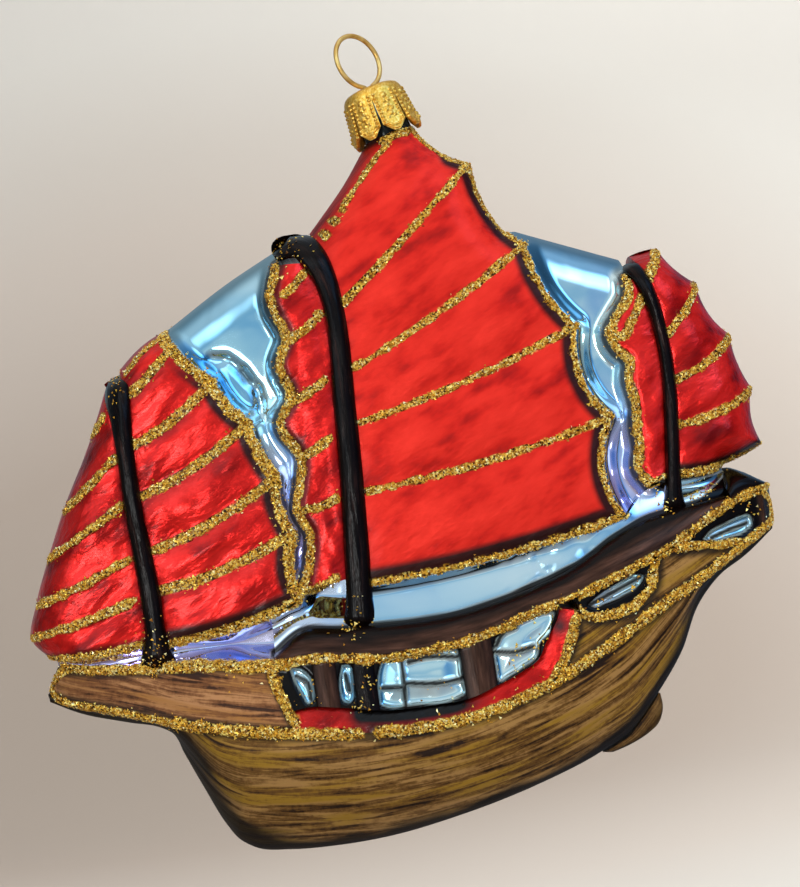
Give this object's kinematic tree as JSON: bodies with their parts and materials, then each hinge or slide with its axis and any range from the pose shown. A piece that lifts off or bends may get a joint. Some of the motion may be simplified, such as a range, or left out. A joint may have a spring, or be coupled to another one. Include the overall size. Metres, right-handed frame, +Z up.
{
  "type": "chinese junk ship tree ornament",
  "caption": "Blown-glass tree ornament shaped as a Chinese junk: red battened sails, mirror webs, brown hull, gold crown cap and a wire loop that a hook carries.",
  "frame": {"origin": "inner top of the wire ring, where a hook carries the ornament", "axes": "+Z up along the masts, +X from bow to stern, +Y across, away from the pictured side"},
  "size_m": [0.1226, 0.0372, 0.1312],
  "materials": {
    "red_lacquer": "translucent red lacquer over silvered glass, high gloss",
    "black_lacquer": "black-brown gloss lacquer over glass",
    "brown_lacquer": "brown lacquer with dark dry-brushed grain, satin gloss",
    "bow_lacquer": "reddish brown lacquer with dark brushed grain",
    "silvered_glass": "bare silvered glass, mirror bright with a pale blue cast",
    "gold_crown": "thin pressed sheet, gold finish, beaded emboss",
    "gold_wire": "gold-finished spring wire"
  },
  "bodies": {
    "hanger": {"wire_loop": "gold_wire"},
    "crown": {"crown_cap": "gold_crown"},
    "glass": {"neck": "silvered_glass", "hull": "brown_lacquer", "rudder": "brown_lacquer", "quarter_panel": "brown_lacquer", "stern_post": "brown_lacquer", "post_1": "brown_lacquer", "post_2": "brown_lacquer", "bow_panel": "bow_lacquer", "rail": "black_lacquer", "poop": "black_lacquer", "mast_foot": "black_lacquer", "fore_mast": "black_lacquer", "main_mast": "black_lacquer", "mizzen_mast": "black_lacquer", "sill": "red_lacquer", "main_sail": "red_lacquer", "main_luff": "red_lacquer", "fore_sail": "red_lacquer", "fore_luff": "red_lacquer", "mizzen_sail": "red_lacquer", "mizzen_luff": "red_lacquer", "fore_web": "silvered_glass", "aft_web": "silvered_glass", "low_web": "silvered_glass", "waist_deck": "silvered_glass", "fore_deck": "silvered_glass", "bow_deck": "silvered_glass", "stern_deck": "silvered_glass", "window_1": "silvered_glass", "window_2": "silvered_glass", "window_3": "silvered_glass", "window_4": "silvered_glass", "quarter_window": "silvered_glass", "stern_window": "silvered_glass"}
  },
  "joints": [
    {"name": "crown_turn", "type": "hinge", "parent": "hanger", "child": "crown", "pos_m": [0.00225, 0, -0.00902], "axis": [-0.2419, 0, 0.9703], "continuous": true},
    {"name": "glass_release", "type": "slide", "parent": "crown", "child": "glass", "axis": [0.2419, 0, -0.9703], "range_m": [0, 0.012]}
  ]
}
